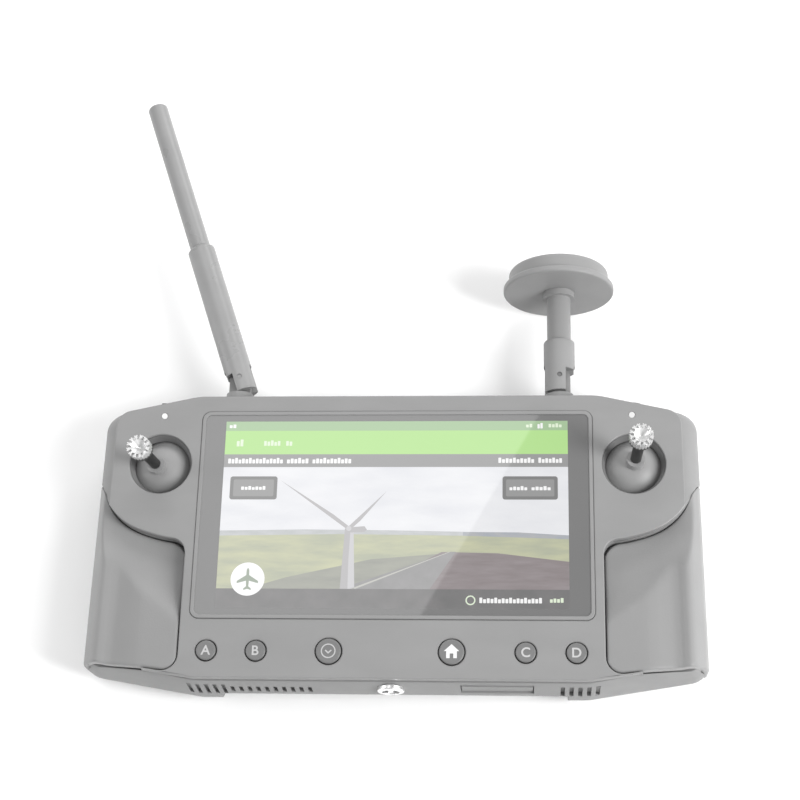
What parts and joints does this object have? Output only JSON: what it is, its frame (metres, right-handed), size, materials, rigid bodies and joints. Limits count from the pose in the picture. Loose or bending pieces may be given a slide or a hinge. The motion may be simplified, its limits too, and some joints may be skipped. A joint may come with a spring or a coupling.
{
  "type": "radio transmitter controller",
  "caption": "Handheld radio controller lying on its back: touch screen, thumb sticks, keys, rubber grips, a folding whip antenna, a folding disc antenna and a strap ring.",
  "frame": {"origin": "middle of the flat face on the back that it rests on, in line with the screen's middle left to right and the case's middle top to bottom", "axes": "+X to the user's right, +Y from the strap ring to the antennas, +Z out of the screen"},
  "size_m": [0.2158, 0.2314, 0.0547],
  "materials": {
    "case_plastic": "fine matt texture",
    "bezel": "satin",
    "screen_glass": "polished",
    "display": "lit display image",
    "grip_rubber": "soft matt",
    "key_plastic": "matt with pale printed marks",
    "light_pipe": "clear, lit white",
    "circuit_board": "solder mask",
    "black_nylon": "moulded",
    "dome_rubber": "satin",
    "stick_steel": "polished",
    "stick_cap": "knurled, anodised",
    "antenna_plastic": "fine matt texture",
    "jack_brass": "gold plated",
    "strap_steel": "polished",
    "control_plastic": "fine matt texture",
    "wheel_rubber": "ribbed",
    "port_metal": "plain",
    "flap_rubber": "matt",
    "battery_wrap": "shrink wrap",
    "heat_sink_aluminium": "extruded",
    "screw_steel": "black oxide",
    "cable_jacket": "smooth"
  },
  "bodies": {
    "case": {"front_housing": "case_plastic", "back_housing": "case_plastic", "screen_bezel": "bezel", "screen_glass": "screen_glass", "display_panel": "display", "left_grip": "grip_rubber", "right_grip": "grip_rubber", "led_pipes": "light_pipe", "main_board": "circuit_board", "key_board": "circuit_board", "left_stick_cup": "black_nylon", "right_stick_cup": "black_nylon", "fan_frame": "black_nylon", "speaker": "black_nylon", "edge_switches": "black_nylon", "whip_jack": "jack_brass", "disc_jack": "jack_brass", "strap_ring": "strap_steel", "port_socket": "port_metal", "shield_can": "port_metal", "battery": "battery_wrap", "heat_sink": "heat_sink_aluminium", "case_screws": "screw_steel", "antenna_cables": "cable_jacket"},
    "left_yoke": {"left_stick_yoke": "black_nylon"},
    "left_stick": {"left_stick_pivot": "black_nylon", "left_stick_dome": "dome_rubber", "left_stick_shaft": "stick_steel", "left_stick_cap": "stick_cap"},
    "right_yoke": {"right_stick_yoke": "black_nylon"},
    "right_stick": {"right_stick_pivot": "black_nylon", "right_stick_dome": "dome_rubber", "right_stick_shaft": "stick_steel", "right_stick_cap": "stick_cap"},
    "whip_base": {"whip_swivel": "antenna_plastic"},
    "whip": {"whip_sleeve": "antenna_plastic", "whip_rod": "antenna_plastic", "whip_pin": "stick_steel"},
    "disc_base": {"disc_swivel": "antenna_plastic"},
    "disc_antenna": {"disc_sleeve": "antenna_plastic", "disc_plate": "antenna_plastic", "disc_cover": "antenna_plastic", "disc_pin": "stick_steel"},
    "power_button": {"power_button": "control_plastic"},
    "shutter_button": {"shutter_button": "control_plastic"},
    "scroll_wheel": {"scroll_wheel": "wheel_rubber"},
    "port_flap": {"port_flap": "flap_rubber"},
    "fan_rotor": {"fan_rotor": "black_nylon"},
    "button_a": {"button_a": "key_plastic"},
    "button_b": {"button_b": "key_plastic"},
    "button_back": {"button_back": "key_plastic"},
    "button_home": {"button_home": "key_plastic"},
    "button_c": {"button_c": "key_plastic"},
    "button_d": {"button_d": "key_plastic"}
  },
  "joints": [
    {"name": "left_stick_forward_back", "type": "hinge", "parent": "case", "child": "left_yoke", "pos_m": [-0.0832, 0.0258, 0.017], "axis": [1, 0, 0], "range_deg": [-23, 17], "stiffness_Nm_per_rad": 0.06},
    {"name": "left_stick_left_right", "type": "hinge", "parent": "left_yoke", "child": "left_stick", "pos_m": [-0.0832, 0.0258, 0.017], "axis": [0, 0.9986, 0.0523], "range_deg": [-15.4, 24.6], "stiffness_Nm_per_rad": 0.06},
    {"name": "right_stick_forward_back", "type": "hinge", "parent": "case", "child": "right_yoke", "pos_m": [0.0832, 0.0258, 0.017], "axis": [1, 0, 0], "range_deg": [-17, 23], "stiffness_Nm_per_rad": 0.06},
    {"name": "right_stick_left_right", "type": "hinge", "parent": "right_yoke", "child": "right_stick", "pos_m": [0.0832, 0.0258, 0.017], "axis": [0, 0.9986, -0.0523], "range_deg": [-22.2, 17.8], "stiffness_Nm_per_rad": 0.06},
    {"name": "button_a_press", "type": "slide", "parent": "case", "child": "button_a", "axis": [0, 0, -1], "range_m": [0, 0.0005], "stiffness_N_per_m": 1200},
    {"name": "button_b_press", "type": "slide", "parent": "case", "child": "button_b", "axis": [0, 0, -1], "range_m": [0, 0.0005], "stiffness_N_per_m": 1200},
    {"name": "button_back_press", "type": "slide", "parent": "case", "child": "button_back", "axis": [0, 0, -1], "range_m": [0, 0.0005], "stiffness_N_per_m": 1200},
    {"name": "button_home_press", "type": "slide", "parent": "case", "child": "button_home", "axis": [0, 0, -1], "range_m": [0, 0.0005], "stiffness_N_per_m": 1200},
    {"name": "button_c_press", "type": "slide", "parent": "case", "child": "button_c", "axis": [0, 0, -1], "range_m": [0, 0.0005], "stiffness_N_per_m": 1200},
    {"name": "button_d_press", "type": "slide", "parent": "case", "child": "button_d", "axis": [0, 0, -1], "range_m": [0, 0.0005], "stiffness_N_per_m": 1200},
    {"name": "power_button_press", "type": "slide", "parent": "case", "child": "power_button", "axis": [0, -1, 0], "range_m": [0, 0.0006], "stiffness_N_per_m": 1200},
    {"name": "shutter_button_press", "type": "slide", "parent": "case", "child": "shutter_button", "axis": [0, -1, 0], "range_m": [0, 0.0006], "stiffness_N_per_m": 1200},
    {"name": "scroll_wheel_turn", "type": "hinge", "parent": "case", "child": "scroll_wheel", "pos_m": [-0.084, 0.0482, 0.016], "axis": [1, 0, 0], "range_deg": [-25, 25], "stiffness_Nm_per_rad": 0.01},
    {"name": "whip_swivel_turn", "type": "hinge", "parent": "case", "child": "whip_base", "pos_m": [-0.058, 0.0614, 0.0205], "axis": [0, 1, 0], "range_deg": [-90, 90]},
    {"name": "whip_fold", "type": "hinge", "parent": "whip_base", "child": "whip", "pos_m": [-0.058, 0.0614, 0.0205], "axis": [0, 0, 1], "range_deg": [-19, 71]},
    {"name": "disc_swivel_turn", "type": "hinge", "parent": "case", "child": "disc_base", "pos_m": [0.058, 0.0614, 0.0205], "axis": [0, 1, 0], "range_deg": [-90, 90]},
    {"name": "disc_fold", "type": "hinge", "parent": "disc_base", "child": "disc_antenna", "pos_m": [0.058, 0.0614, 0.0205], "axis": [0, 0, 1], "range_deg": [-66, 0]},
    {"name": "port_flap_open", "type": "hinge", "parent": "case", "child": "port_flap", "pos_m": [0.036, -0.0519, 0.0191], "axis": [1, 0, 0], "range_deg": [0, 100]},
    {"name": "fan_spin", "type": "hinge", "parent": "case", "child": "fan_rotor", "pos_m": [-0.046, -0.022, 0.0034], "axis": [0, 0, 1], "continuous": true}
  ]
}
